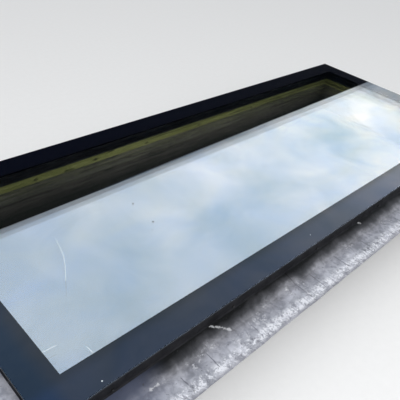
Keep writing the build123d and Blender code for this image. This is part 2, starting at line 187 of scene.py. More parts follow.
# The studio: its floor, the lamp above the eaves and the light of the room below
FLOOR_HALF = 25.0
FLOOR_TONES = ((0.79, 0.79, 0.79), (0.83, 0.83, 0.83))
SOFT_LIGHT = (0.78, 0.79, 0.80)
KEY_LAMP_AT = (-2.5, -3.5, 4.5)
KEY_LAMP_AIM = (0.0, 0.0, 0.2)
KEY_LAMP_SIZE = 3.0
KEY_LAMP_POWER = 160.0
WELL_LAMP_AT = (0.40, 0.0, 0.01)
WELL_LAMP_SIZE = (2.2, 0.8)
WELL_LAMP_POWER = 5.2

# How many clear faces a ray may pass: the light crosses the five sheets of the unit more than once
CLEAR_FACES = 48


# Node helpers


def node(tree, kind, inputs=None, **settings):
    """A new shader node; each input is a plain value or another node's output socket."""
    made = tree.nodes.new("ShaderNode" + kind)
    for name, value in settings.items():
        setattr(made, name, value)
    for name, value in (inputs or {}).items():
        socket = made.inputs[name]
        if isinstance(value, bpy.types.NodeSocket):
            tree.links.new(value, socket)
        else:
            socket.default_value = value
    return made


def maths(tree, operation, a, b=0.5, c=0.5, clamp=False):
    """The output of one Math node."""
    return node(tree, "Math", {0: a, 1: b, 2: c}, operation=operation, use_clamp=clamp).outputs[0]


def vector_maths(tree, operation, a, b, output="Vector"):
    """One output of a Vector Math node."""
    return node(tree, "VectorMath", {0: a, 1: b}, operation=operation).outputs[output]


def rgba(colour):
    """A colour with its alpha."""
    return (*colour, 1.0) if len(colour) == 3 else colour


def blend(tree, factor, a, b, mode="MIX"):
    """Two colours mixed by a factor."""
    made = node(tree, "Mix", {0: factor}, data_type="RGBA", blend_type=mode)
    for index, value in ((6, a), (7, b)):
        if isinstance(value, bpy.types.NodeSocket):
            tree.links.new(value, made.inputs[index])
        else:
            made.inputs[index].default_value = rgba(value)
    return made.outputs[2]


def layered(tree, tone, cover, strength, colour):
    """A tone with a colour laid over it at some strength, where its cover lies."""
    return blend(tree, maths(tree, "MULTIPLY", cover, strength), tone, colour)


def multiplied(tree, a, b):
    """Two colours multiplied."""
    return blend(tree, 1.0, a, b, "MULTIPLY")


def shaded(tree, colour, shade):
    """A colour whose channels are all multiplied by one value."""
    return multiplied(tree, colour, node(tree, "CombineColor", {0: shade, 1: shade, 2: shade}).outputs[0])


def weighed(tree, a, b, share):
    """The mean of two values, the first of which has a share of the weight."""
    return maths(tree, "ADD", maths(tree, "MULTIPLY", a, share), maths(tree, "MULTIPLY", b, 1.0 - share))


def steps(tree, value, low, high, to_low=0.0, to_high=1.0):
    """A smooth change of a value from one level to another."""
    return node(tree, "MapRange", {"Value": value, "From Min": low, "From Max": high,
                                   "To Min": to_low, "To Max": to_high},
                interpolation_type="SMOOTHSTEP").outputs[0]


def ramp(tree, value, stops):
    """A colour ramp through (position, colour) stops."""
    made = node(tree, "ValToRGB", {"Fac": value})
    elements = made.color_ramp.elements
    while len(elements) < len(stops):
        elements.new(1.0)
    for element, (position, colour) in zip(elements, stops):
        element.position = position
        element.color = rgba(colour)
    return made.outputs[0]


def object_point(tree):
    """The point in the object's own coordinates, which are the row frame's."""
    return node(tree, "TexCoord").outputs["Object"]


def flattened(tree, point):
    """A point moved straight down to the level of zero."""
    return vector_maths(tree, "MULTIPLY", point, (1.0, 1.0, 0.0))


def stretched(tree, vector, scale, offset=(0.0, 0.0, 0.0)):
    """A vector scaled and moved."""
    return node(tree, "Mapping", {"Vector": vector, "Scale": scale, "Location": offset}).outputs[0]


def shifted(tree, vector, offset):
    """A vector moved."""
    return stretched(tree, vector, (1.0, 1.0, 1.0), offset)


def clouds(tree, vector, scale, detail=4.0, roughness=0.55, distortion=0.0):
    """Fractal noise between about 0.25 and 0.75."""
    return node(tree, "TexNoise", {"Vector": vector, "Scale": scale, "Detail": detail,
                                   "Roughness": roughness, "Distortion": distortion}).outputs["Fac"]


def bumped(tree, height, distance, strength=1.0):
    """A normal raised by a height."""
    return node(tree, "Bump", {"Height": height, "Distance": distance, "Strength": strength}).outputs[0]


def new_material(name):
    """An empty node material and its tree."""
    material = bpy.data.materials.new(name)
    material.use_nodes = True
    material.node_tree.nodes.clear()
    return material, material.node_tree


def finish_surface(tree, shader):
    """Join a shader to the material's output."""
    node(tree, "OutputMaterial", {"Surface": shader})


def principled(tree, **inputs):
    """A Principled shader whose sockets are named in the call, with _ for a space."""
    values = {name.replace("_", " "): value for name, value in inputs.items()}
    if "Base Color" in values and not isinstance(values["Base Color"], bpy.types.NodeSocket):
        values["Base Color"] = rgba(values["Base Color"])
    return node(tree, "BsdfPrincipled", values).outputs[0]


def mixed_shader(tree, share, below, above):
    """Two shaders mixed by the share of the second."""
    return node(tree, "MixShader", {0: share, 1: below, 2: above}).outputs[0]


def edge_distance(tree):
    """How far a point lies outside the clear glass, and its place along the nearest side."""
    split = node(tree, "SeparateXYZ", {0: object_point(tree)})
    x, y = split.outputs[0], split.outputs[1]
    past_x = maths(tree, "SUBTRACT", maths(tree, "ABSOLUTE", x), CLEAR_LENGTH / 2)
    past_y = maths(tree, "SUBTRACT", maths(tree, "ABSOLUTE", y), CLEAR_WIDTH / 2)
    on_end = maths(tree, "GREATER_THAN", past_x, past_y)
    along = node(tree, "Mix", {0: on_end, 2: x, 3: y}, data_type="FLOAT").outputs[0]
    return maths(tree, "MAXIMUM", past_x, past_y), along


def segment_distance(tree, point, start, end):
    """The distance of a point from a line segment, seen from above."""
    line = Vector((*end, 0.0)) - Vector((*start, 0.0))
    offset = vector_maths(tree, "SUBTRACT", flattened(tree, point), (*start, 0.0))
    reach = vector_maths(tree, "DOT_PRODUCT", offset, line / line.length_squared, "Value")
    share = maths(tree, "ADD", reach, 0.0, clamp=True)
    foot = node(tree, "VectorMath", {0: tuple(line), "Scale": share}, operation="SCALE").outputs[0]
    return vector_maths(tree, "DISTANCE", offset, foot, "Value")


def level_face(tree):
    """One on the top and bottom faces of a level sheet and zero on its edges."""
    normal = node(tree, "NewGeometry").outputs["Normal"]
    up = node(tree, "SeparateXYZ", {0: normal}).outputs[2]
    return steps(tree, maths(tree, "ABSOLUTE", up), 0.90, 0.98)


# Glass


def mirror_share(tree, head_on):
    """The share of light that a surface reflects, from its value seen head on to one at a graze."""
    facing = node(tree, "LayerWeight", {"Blend": 0.5}).outputs["Facing"]
    graze = maths(tree, "POWER", facing, GRAZE_POWER)
    rest = maths(tree, "SUBTRACT", 1.0, head_on)
    return maths(tree, "ADD", maths(tree, "MULTIPLY", graze, rest), head_on)


def scratch_cover(tree, point):
    """The cover of the pale scratches."""
    cover = 0.0
    for points, width in SCRATCHES:
        for start, end in zip(points, points[1:]):
            away = segment_distance(tree, point, start, end)
            cover = maths(tree, "MAXIMUM", cover, steps(tree, away, width * 0.2, width, 0.55, 0.0))
    return cover


def speck_cover(tree, point, specks):
    """The cover of some round specks."""
    flat = flattened(tree, point)
    cover = 0.0
    for x, y, width in specks:
        away = vector_maths(tree, "DISTANCE", flat, (x, y, 0.0), "Value")
        cover = maths(tree, "MAXIMUM", cover, steps(tree, away, width * 0.5, width, 0.8, 0.0))
    return cover


def marked(tree, shader, point, top):
    """A glass shader with its scratches and specks laid over the top face."""
    pale = maths(tree, "MAXIMUM", scratch_cover(tree, point), speck_cover(tree, point, PALE_SPECKS))
    for cover, colour in ((pale, CHALK), (speck_cover(tree, point, DARK_SPECKS), SOIL)):
        mark = principled(tree, Base_Color=colour, Roughness=0.9)
        shader = mixed_shader(tree, maths(tree, "MULTIPLY", cover, top), shader, mark)
    return shader


def enamel_body(tree, distance):
    """Fired black enamel, with painted shade in a darker line along its inner edge."""
    # Painted shade darkens the first few millimetres inside the enamel's inner edge
    past_edge_shade = steps(tree, distance, 0.002, 0.006)
    cloudy = clouds(tree, object_point(tree), 3.0, 3.0)
    body = blend(tree, cloudy, *ENAMEL_TONES)
    colour = blend(tree, past_edge_shade, ENAMEL_EDGE_SHADE, body)
    return principled(tree, Base_Color=colour, Roughness=0.6, Specular_IOR_Level=0.03)


def enamel_over(tree, clear, distance, face):
    """A see-through shader with the enamel in its place over the border of a face."""
    inside = maths(tree, "LESS_THAN", distance, ENAMEL_REACH)
    border = maths(tree, "MULTIPLY", maths(tree, "GREATER_THAN", distance, 0.0), inside)
    cover = maths(tree, "MULTIPLY", border, face)
    return mixed_shader(tree, cover, clear, enamel_body(tree, distance))


def reflected_share(tree, faces, flat):
    """The share of light that a pane reflects, from the cover and head-on value of each face."""
    share = 0.0
    for cover, head_on in faces:
        if head_on:
            share = maths(tree, "ADD", share, maths(tree, "MULTIPLY", cover, mirror_share(tree, head_on)))
    edges = maths(tree, "MULTIPLY", maths(tree, "SUBTRACT", 1.0, flat), EDGE_REFLECTANCE)
    return maths(tree, "MAXIMUM", share, edges)


def pane_gloss(tree, point, flat, edge_colour):
    """The faintly waved mirror of a pane's faces and the body of its cut edge."""
    wave = clouds(tree, point, 3.2, 1.0, 0.4)
    colour = blend(tree, flat, edge_colour, MIRROR_TONE)
    return principled(tree, Base_Color=colour, Metallic=flat, Roughness=0.01, Specular_IOR_Level=0.05,
                      Normal=bumped(tree, wave, PANE_WAVE))


def pane(name, node_name, upper, lower, tint, edge_colour, bordered=False):
    """A sheet of glass: the share of light that each face reflects head on, its tint and cut edge.

    The lower face of a bordered pane reflects over the clear glass alone. Its upper face shows the
    fired enamel over the border, which renders with less noise than the real enamel seen through it.
    """
    material, tree = new_material(name)
    point = object_point(tree)
    low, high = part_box(node_name)
    height = node(tree, "SeparateXYZ", {0: point}).outputs[2]
    top = maths(tree, "GREATER_THAN", height, (low.z + high.z) / 2)
    bottom = maths(tree, "SUBTRACT", 1.0, top)
    flat = level_face(tree)
    clear = node(tree, "BsdfTransparent", {"Color": rgba(tint)}).outputs[0]
    if bordered:
        distance, _ = edge_distance(tree)
        bottom = maths(tree, "MULTIPLY", bottom, maths(tree, "LESS_THAN", distance, 0.0))
        clear = enamel_over(tree, clear, distance, maths(tree, "MULTIPLY", top, flat))
    share = reflected_share(tree, ((top, upper), (bottom, lower)), flat)
    shader = mixed_shader(tree, share, clear, pane_gloss(tree, point, flat, edge_colour))
    if bordered:
        shader = marked(tree, shader, point, top)
    finish_surface(tree, shader)
    return material


def enamel():
    """The fired enamel as a piece of its own, which shows from below."""
    material, tree = new_material("enamel")
    distance, _ = edge_distance(tree)
    finish_surface(tree, enamel_body(tree, distance))
    return material


# Rubber, plastic and metal


def matt_body(name, colour, roughness=0.6, grain=700.0, depth=0.0001, variation=0.35, metallic=0.0,
              specular=0.5):
    """A moulded or coated surface with a fine grain and faint uneven dust."""
    material, tree = new_material(name)
    point = object_point(tree)
    patches = clouds(tree, point, 14.0, 5.0, 0.6)
    dark = tuple(channel * (1.0 - variation) for channel in colour)
    light = tuple(min(channel * (1.0 + variation) + 0.004, 1.0) for channel in colour)
    tone = blend(tree, steps(tree, patches, 0.3, 0.7), dark, light)
    fine = clouds(tree, point, grain, 3.0)
    rubbed = clouds(tree, point, 60.0, 4.0)
    rough = steps(tree, rubbed, 0.3, 0.7, roughness * 0.85, min(roughness * 1.15, 1.0))
    shader = principled(tree, Base_Color=tone, Roughness=rough, Metallic=metallic,
                        Specular_IOR_Level=specular, Normal=bumped(tree, fine, depth, 0.5))
    finish_surface(tree, shader)
    return material


def brushed_steel():
    """Stainless steel with fine lathe marks."""
    material, tree = new_material("screw")
    point = object_point(tree)
    marks = clouds(tree, stretched(tree, point, (900.0, 900.0, 120.0)), 1.0, 2.0)
    tone = blend(tree, marks, (0.46, 0.46, 0.46), (0.68, 0.68, 0.67))
    rough = steps(tree, marks, 0.3, 0.7, 0.22, 0.38)
    shader = principled(tree, Base_Color=tone, Roughness=rough, Metallic=1.0,
                        Normal=bumped(tree, marks, 0.00003, 0.4))
    finish_surface(tree, shader)
    return material


# Timber


def along_grain(tree, point, along_x, long, cross, offset=(0.0, 0.0, 0.0)):
    """A point stretched by one factor along the grain and by another across it."""
    scale = (long, cross, cross) if along_x else (cross, long, cross)
    return stretched(tree, point, scale, offset)


def knotted(tree, tone, point, along_x, colour, places):
    """A timber tone with scattered knots, and with the knots that have a place."""
    spread = along_grain(tree, point, along_x, 2.6, 9.0, (0.35, 0.2, 0.1))
    cells = node(tree, "TexVoronoi", {"Vector": spread, "Scale": 1.6}, feature="F1").outputs["Distance"]
    tone = layered(tree, tone, steps(tree, cells, 0.05, 0.13, 1.0, 0.0), 0.85, colour)
    squeezed = vector_maths(tree, "MULTIPLY", point, (KNOT_SQUEEZE, 0.0, 1.0))
    for x, z in places:
        away = vector_maths(tree, "DISTANCE", squeezed, (x * KNOT_SQUEEZE, 0.0, z), "Value")
        tone = blend(tree, steps(tree, away, 0.004, 0.0105, 0.9, 0.0), tone, colour)
    return tone


def cracked(tree, tone, point, along_x, colour):
    """A timber tone with dark cracks along the grain."""
    lines = clouds(tree, along_grain(tree, point, along_x, 0.5, 34.0, (1.0, 2.0, 5.0)), 2.0, 4.0, 0.6)
    return layered(tree, tone, steps(tree, lines, 0.43, 0.37), 0.7, colour)


def timber(name, along_x, colours, foot_shade=None, knots=()):
    """Sawn softwood: long grain, saw marks and knots, and painted shade that darkens it towards its foot
    between two heights.
    """
    material, tree = new_material(name)
    light, dark, knot = colours
    point = object_point(tree)
    grain = clouds(tree, along_grain(tree, point, along_x, 1.4, 26.0), 3.0, 8.0, 0.68, 0.6)
    rings = clouds(tree, along_grain(tree, point, along_x, 0.35, 9.0, (3.1, 1.7, 0.4)), 6.0, 2.0, 0.5, 1.5)
    tone = blend(tree, steps(tree, weighed(tree, grain, rings, 0.65), 0.38, 0.62), dark, light)
    tone = knotted(tree, tone, point, along_x, knot, knots)
    blotches = clouds(tree, point, 4.0, 4.0)
    tone = layered(tree, tone, steps(tree, blotches, 0.35, 0.7), 0.35, dark)
    tone = cracked(tree, tone, point, along_x, knot)
    # Painted shade: the boards grow darker towards their foot
    if foot_shade:
        height = node(tree, "SeparateXYZ", {0: point}).outputs[2]
        shade_at_foot = steps(tree, height, *foot_shade, 0.92, 0.0)
        tone = blend(tree, shade_at_foot, tone, tuple(channel * 0.25 for channel in dark))
    saw = clouds(tree, along_grain(tree, point, along_x, 240.0, 6.0), 1.0, 2.0)
    relief = bumped(tree, weighed(tree, grain, saw, 0.7), 0.0008, 0.8)
    shader = principled(tree, Base_Color=tone, Roughness=TIMBER_ROUGHNESS, Specular_IOR_Level=0.3,
                        Normal=relief)
    finish_surface(tree, shader)
    return material


# Lead


def shade_and_weather_reach(tree, point, distance, patches):
    """How far out a point counts for the painted shade under the glass and for the weather: further at the
    two ends, where the overhang shades less, and drifting in patches.
    """
    drift = maths(tree, "MULTIPLY", maths(tree, "SUBTRACT", patches, 0.5), 0.06)
    split = node(tree, "SeparateXYZ", {0: point})
    past_corner = maths(tree, "SUBTRACT", maths(tree, "ABSOLUTE", split.outputs[0]),
                        maths(tree, "ABSOLUTE", split.outputs[1]))
    # At the two ends the painted shade and the darker sheltered lead stop nearer the glass
    end_shift = steps(tree, past_corner, 0.96, 1.02, 0.0115, 0.060)
    return maths(tree, "ADD", maths(tree, "ADD", distance, end_shift), drift)


def shaded_and_weathered_tone(tree, reach, patches, mottle):
    """The broad tone of the lead with the painted shade near the glass, mottled."""
    # The darkest stops, nearest the glass, are painted shade of the overhang over darker sheltered lead
    tone = ramp(tree, maths(tree, "DIVIDE", reach, LEAD_REACH), LEAD_SHADE_AND_TONES)
    shade = maths(tree, "MULTIPLY", steps(tree, patches, 0.32, 0.68, 0.80, 1.20),
                  steps(tree, mottle, 0.34, 0.66, 0.74, 1.26))
    return shaded(tree, tone, shade)


def ragged_rim(tree, tone, distance, bits, brushed):
    """A lead tone with white patina and dirt in ragged patches along its outer part."""
    rim = maths(tree, "MULTIPLY", steps(tree, distance, 0.212, 0.238), steps(tree, distance, 0.272, 0.252))
    ragged = weighed(tree, bits, brushed, 0.65)
    pale = maths(tree, "MULTIPLY", steps(tree, ragged, 0.49, 0.55), rim)
    tone = layered(tree, tone, pale, 0.85, RIM_PATINA)
    dirty = maths(tree, "MULTIPLY", steps(tree, ragged, 0.445, 0.40), rim)
    return layered(tree, tone, dirty, 0.6, RIM_DIRT)


def crinkled(tree, tone, point, reach, bits):
    """A lead tone with patina on thin ridges and in smears, where the lead lies open and is worn."""
    open_lead = steps(tree, reach, 0.145, 0.185)
    worn = steps(tree, clouds(tree, shifted(tree, point, (9.0, 3.0, 0.0)), 13.0, 3.0), 0.48, 0.60)
    crinkles = clouds(tree, shifted(tree, point, (2.0, 7.0, 0.0)), 22.0, 5.0, 0.6, 1.6)
    off_middle = maths(tree, "ABSOLUTE", maths(tree, "SUBTRACT", crinkles, 0.5))
    ridges = maths(tree, "MULTIPLY", steps(tree, off_middle, 0.004, 0.030, 1.0, 0.0),
                   steps(tree, bits, 0.46, 0.56))
    smears = steps(tree, bits, 0.57, 0.64)
    for marks, strength, colour in ((ridges, 0.60, RIDGE_PATINA), (smears, 0.55, SMEAR_PATINA)):
        cover = maths(tree, "MULTIPLY", maths(tree, "MULTIPLY", marks, worn), open_lead)
        tone = layered(tree, tone, cover, strength, colour)
    return tone


def folded(tree, tone, point, distance, brushed):
    """A lead tone with short dark folds across the sheet, a little shaken."""
    x = node(tree, "SeparateXYZ", {0: point}).outputs[0]
    shaken = maths(tree, "MULTIPLY_ADD", maths(tree, "SUBTRACT", brushed, 0.5), 0.012, x)
    past = maths(tree, "ABSOLUTE", maths(tree, "SUBTRACT", distance, FOLD_MIDDLE))
    for place, length in LEAD_FOLDS:
        away = maths(tree, "ABSOLUTE", maths(tree, "SUBTRACT", shaken, place))
        line = maths(tree, "MULTIPLY", steps(tree, away, 0.0005, 0.0032, 0.75, 0.0),
                     steps(tree, past, length * 0.35, length * 0.55, 1.0, 0.0))
        tone = blend(tree, line, tone, FOLD_SHADOW)
    return tone


def spotted(tree, tone, point, bits):
    """A lead tone with its damp patch, bright chips and specks of grime."""
    away = vector_maths(tree, "DISTANCE", flattened(tree, point), DAMP_PATCH, "Value")
    tone = layered(tree, tone, steps(tree, away, 0.06, 0.22, 1.0, 0.0), 0.6, DAMP_LEAD)
    for start, end, width in LEAD_CHIPS:
        spot = maths(tree, "MULTIPLY_ADD", maths(tree, "SUBTRACT", bits, 0.5), 0.03,
                     segment_distance(tree, point, start, end))
        tone = blend(tree, steps(tree, spot, width * 0.2, width, 0.55, 0.0), tone, BARE_LEAD)
    grime = steps(tree, clouds(tree, shifted(tree, point, (4.0, 2.0, 0.0)), 90.0, 4.0), 0.63, 0.72)
    return layered(tree, tone, grime, 0.6, GRIME)


def lead_patina():
    """Sheet lead worn by the weather: painted shade under the glass's overhang over darker sheltered lead,
    with white patina towards its edge.
    """
    material, tree = new_material("lead")
    point = object_point(tree)
    distance, along = edge_distance(tree)
    drawn_in = maths(tree, "MULTIPLY", distance, 0.3)
    flow = node(tree, "CombineXYZ", {0: along, 1: drawn_in, 2: SEED}).outputs[0]
    brushed = clouds(tree, flow, 50.0, 5.0, 0.6, 0.8)
    mottle = clouds(tree, point, 30.0, 8.0, 0.62, 0.6)
    patches = clouds(tree, point, 7.0, 4.0)
    bits = clouds(tree, point, 75.0, 6.0, 0.65, 1.0)
    reach = shade_and_weather_reach(tree, point, distance, patches)
    tone = shaded_and_weathered_tone(tree, reach, patches, mottle)
    tone = ragged_rim(tree, tone, distance, bits, brushed)
    tone = crinkled(tree, tone, point, reach, bits)
    tone = folded(tree, tone, point, distance, brushed)
    tone = spotted(tree, tone, point, bits)
    rough = steps(tree, weighed(tree, patches, mottle, 0.4), 0.35, 0.65, 0.42, 0.70)
    shader = principled(tree, Base_Color=tone, Roughness=rough, Metallic=0.15, Specular_IOR_Level=0.25,
                        Normal=bumped(tree, mottle, 0.0015, 0.6))
    finish_surface(tree, shader)
    return material


def fillet_arc(before, corner, after, radius, count=6):
    """Points of a fillet of a polyline's corner."""
    back = (before - corner).normalized()
    ahead = (after - corner).normalized()
    half = back.angle(ahead) / 2
    middle = corner + (back + ahead).normalized() * (radius / sin(half))
    turn = pi - 2 * half
    start = corner + back * (radius / sin(half) * cos(half))
    spoke = start - middle
    sense = 1.0 if back.x * ahead.y - back.y * ahead.x < 0 else -1.0
    arc = []
    for index in range(count + 1):
        angle = sense * turn * index / count
        arc.append(middle + Vector((spoke.x * cos(angle) - spoke.y * sin(angle),
                                    spoke.x * sin(angle) + spoke.y * cos(angle))))
    return arc


def spaced(points, step):
    """The points of a polyline with its long runs divided."""
    line = [points[0]]
    for start, end in zip(points, points[1:]):
        count = max(1, round((end - start).length / step))
        line += [start.lerp(end, (index + 1) / count) for index in range(count)]
    return line


def lead_section(welted):
    """The underside of a flashing in (s, z), and the unit normal towards its outer face at each point."""
    kerb_face = kerb_half_x - CLEAR_LENGTH / 2
    flat = lead_low.z
    edge = -lead_low.x - CLEAR_LENGTH / 2
    corners = [Vector((kerb_face, lead_high.z)), Vector((kerb_face, lead_high.z - LEAD_UPSTAND)),
               Vector((LEAD_CREASE, flat)), Vector((edge, flat))]
    radii = [LEAD_BEND, LEAD_BEND]
    if welted:
        fold = flat + 2 * LEAD_THICKNESS + WELT_GAP
        corners += [Vector((edge, fold)), Vector((edge - WELT_WIDTH, fold))]
        radii += [WELT_BEND, WELT_BEND]
    points = [corners[0]]
    for index, radius in enumerate(radii, start=1):
        points += fillet_arc(corners[index - 1], corners[index], corners[index + 1], radius)
    points.append(corners[-1])
    line = spaced(points, SECTION_STEP)
    normals = []
    for index in range(len(line)):
        before = line[max(index - 1, 0)]
        after = line[min(index + 1, len(line) - 1)]
        along = (after - before).normalized()
        normals.append(Vector((-along.y, along.x)))
    return line, normals


def smooth(value, low, high):
    """A smooth step of a value from low to high."""
    share = min(max((value - low) / (high - low), 0.0), 1.0)
    return share * share * (3 - 2 * share)


def dressed(x, y, s):
    """How far the hand-dressed lead lifts or sinks at a point."""
    lift = sum(noise.noise(Vector((x * waves, y * waves, SEED + shift))) * depth
               for waves, depth, shift in DRESSING)
    return smooth(s, *DRESSED_FROM) * lift


def wandering(along, s):
    """How far the cut edge of the lead wanders inwards."""
    inwards = sum((0.5 + 0.5 * noise.noise(Vector((along * waves, SEED, shift)))) * depth
                  for waves, depth, shift in EDGE_WANDER)
    return smooth(s, *WANDERS_FROM) * inwards


def placed(side, along, s, z):
    """A point of a side's section in the row frame."""
    if side == "front":
        return Vector((along, -CLEAR_WIDTH / 2 - s, z))
    if side == "back":
        return Vector((-along, CLEAR_WIDTH / 2 + s, z))
    if side == "left":
        return Vector((-CLEAR_LENGTH / 2 - s, -along, z))
    return Vector((CLEAR_LENGTH / 2 + s, along, z))


def sheet_points(section, side, start, end, height, columns):
    """The points of one face of a sheet, column by column along its side."""
    points = []
    for column in range(columns + 1):
        for point, normal in zip(*section):
            raised = point + normal * height
            first, last = start(raised.x), end(raised.x)
            along = first + (last - first) * column / columns
            s = raised.x - wandering(along, raised.x)
            spot = placed(side, along, s, raised.y)
            spot.z += dressed(spot.x, spot.y, s)
            points.append(spot)
    return points


def sheet_faces(columns, rows):
    """The faces of a sheet between its lower and upper points: both sides, then the rims."""

    def index(layer, column, row):
        return (layer * (columns + 1) + column) * rows + row

    faces = []
    for column in range(columns):
        for row in range(rows - 1):
            faces.append((index(0, column, row), index(0, column, row + 1),
                          index(0, column + 1, row + 1), index(0, column + 1, row)))
            faces.append((index(1, column, row), index(1, column + 1, row),
                          index(1, column + 1, row + 1), index(1, column, row + 1)))
        for row in (0, rows - 1):
            rim = (index(0, column, row), index(0, column + 1, row),
                   index(1, column + 1, row), index(1, column, row))
            faces.append(rim if row == 0 else rim[::-1])
    for row in range(rows - 1):
        for column in (0, columns):
            rim = (index(0, column, row), index(1, column, row),
                   index(1, column, row + 1), index(0, column, row + 1))
            faces.append(rim if column == 0 else rim[::-1])
    return faces


def lead_sheet(name, side, start, end, welted, raised):
    """A dressed lead sheet along a side; start and end give its ends along the side for a distance s."""
    section = lead_section(welted)
    columns = max(2, round((end(LENGTH_TAKEN_AT) - start(LENGTH_TAKEN_AT)) / LEAD_STEP))
    points = []
    for height in (raised, raised + LEAD_THICKNESS):
        points += sheet_points(section, side, start, end, height, columns)
    mesh = bpy.data.meshes.new(name)
    mesh.from_pydata(points, [], sheet_faces(columns, len(section[0])))
    mesh.validate()
    mesh.shade_smooth()
    mesh.set_sharp_from_angle(angle=radians(SHARP_ANGLE))
    piece = bpy.data.objects.new(name, mesh)
    bpy.context.scene.collection.objects.link(piece)
    return piece


def lead_flashing(material):
    """The six lead sheets, dressed by hand, in place of their plain solids."""
    half_x, half_y = CLEAR_LENGTH / 2, CLEAR_WIDTH / 2
    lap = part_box("apron_left")[1].x
    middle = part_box("apron_middle")[1].x
    over = LEAD_THICKNESS + LAP_CLEARANCE
    sheets = {
        "apron_left": ("front", lambda s: -half_x - s, lambda s: lap, False, 0.0),
        "apron_middle": ("front", lambda s: -middle, lambda s: middle, False, over),
        "apron_right": ("front", lambda s: -lap, lambda s: half_x + s, False, 0.0),
        "side_flashing_left": ("left", lambda s: -half_y - s, lambda s: half_y + s, True, 0.0),
        "side_flashing_right": ("right", lambda s: -half_y - s, lambda s: half_y + s, True, 0.0),
        "back_gutter": ("back", lambda s: -half_x - s, lambda s: half_x + s, True, 0.0),
    }
    for cad_name, (side, start, end, welted, raised) in sheets.items():
        piece = lead_sheet(cad_name + "_dressed", side, start, end, welted, raised)
        piece.data.materials.append(material)
        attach(piece, "root")
        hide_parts(cad_name)


# The finish of every CAD piece


def glass_finishes():
    """The materials of the panes and the enamel, by how their nodes' names start."""
    return {
        "outer_pane": pane("outer_glass", "outer_pane", GLASS_REFLECTANCE, COATING_REFLECTANCE,
                           GLASS_TINT, OUTER_EDGE, bordered=True),
        "middle_pane": pane("middle_glass", "middle_pane", MIDDLE_REFLECTANCE, 0.0, GLASS_TINT, GREEN_EDGE),
        "inner_ply_upper": pane("inner_glass_upper", "inner_ply_upper", INNER_REFLECTANCE, 0.0,
                                GLASS_TINT, GREEN_EDGE),
        "inner_ply_lower": pane("inner_glass_lower", "inner_ply_lower", 0.0, 0.0, GLASS_TINT, GREEN_EDGE),
        "laminate_interlayer": pane("interlayer", "laminate_interlayer", 0.0, 0.0,
                                    INTERLAYER_TINT, INTERLAYER_EDGE),
        "enamel_border": enamel(),
    }


def frame_finishes():
    """The materials of the spacers, seals, frame and fixings, by how their nodes' names start."""
    spacer_metal = matt_body("spacer", (0.035, 0.035, 0.037), 0.4, metallic=0.6)
    steel = brushed_steel()
    return {
        "spacer_corner_keys": matt_body("spacer_key", (0.09, 0.09, 0.09), 0.5),
        "spacer": spacer_metal,
        "lower_spacer": spacer_metal,
        "butyl_seals": matt_body("butyl", (0.012, 0.012, 0.012), 0.7),
        "edge_sealant": matt_body("edge_sealant", (0.020, 0.020, 0.022), 0.65),
        # Near black: the outer frame carries its own dark coat with painted shade of the glass's overhang
        "outer_frame": matt_body("outer_frame", (0.012, 0.012, 0.014), 0.6, 1400.0, 0.00008, specular=0.12),
        "inner_frame": matt_body("inner_frame", (0.030, 0.032, 0.036), 0.40, 1400.0, 0.00008),
        "thermal_break": matt_body("thermal_break", (0.030, 0.030, 0.030), 0.55),
        "corner_cleats": matt_body("cleat", (0.55, 0.56, 0.57), 0.45, 500.0, 0.0002, 0.12, 1.0),
        "bond_tape": matt_body("tape", (0.035, 0.035, 0.036), 0.85, 400.0, 0.0003),
        "glazing_tape": matt_body("glazing_tape", (0.035, 0.035, 0.036), 0.85, 400.0, 0.0003),
        "structural_silicone": matt_body("structural_silicone", (0.016, 0.016, 0.017), 0.45),
        "weather_seal": matt_body("silicone", (0.010, 0.010, 0.010), 0.6, 160.0, 0.0004, specular=0.15),
        "inner_gasket": matt_body("gasket", (0.018, 0.018, 0.018), 0.5),
        "inner_kerb_seal": matt_body("kerb_seal", (0.020, 0.020, 0.020), 0.6),
        "outer_kerb_seal": matt_body("outer_kerb_seal", (0.020, 0.020, 0.020), 0.6),
        "setting_blocks": matt_body("setting_block", (0.10, 0.10, 0.11), 0.5),
        # The washers and coated frame screws are darkened with painted shade of the overhang too
        "frame_screw_washers": matt_body("washer", (0.006, 0.006, 0.006), 0.8, specular=0.1),
        "frame_screws": matt_body("coated_screw", (0.020, 0.020, 0.021), 0.5, specular=0.2),
        "plate_screws": steel,
        "board_screws": steel,
    }


def kerb_finishes():
    """The timbers of the kerb: the grain of its front and back runs along x, and of its ends along y."""
    finishes = {}
    for axis, sides, knots in (("x", ("front", "back"), KNOTS), ("y", ("left", "right"), ())):
        plate = timber("treated_timber_" + axis, axis == "x", GREEN_TIMBER, knots=knots)
        board = timber("dark_timber_" + axis, axis == "x", DARK_TIMBER, foot_shade=FOOT_SHADE_HEIGHTS)
        for side in sides:
            finishes["kerb_plate_" + side] = plate
            finishes["kerb_board_" + side] = board
    return finishes


def dress_cad_nodes():
    """Give each CAD node that shows its material."""
    finishes = {**glass_finishes(), **frame_finishes(), **kerb_finishes()}
    for name, piece in nodes.items():
        if piece.hide_render:
            continue
        material = next(finishes[start] for start in finishes if name.startswith(start))
        piece.data.materials.clear()
        piece.data.materials.append(material)


# Studio


def held(tree, value, half, share):
    """One below zero and a share above it, with a smooth change over a narrow width."""
    past = steps(tree, value, -half, half)
    return maths(tree, "SUBTRACT", 1.0, maths(tree, "MULTIPLY", past, maths(tree, "SUBTRACT", 1.0, share)))


def sky_gradient(tree, over_x):
    """The plain sky, which brightens along x in two stretches."""
    near, middle, far = SKY_TONES
    sky = blend(tree, steps(tree, over_x, 0.2, 1.7), near, middle)
    return blend(tree, steps(tree, over_x, 1.4, 2.4), sky, far)


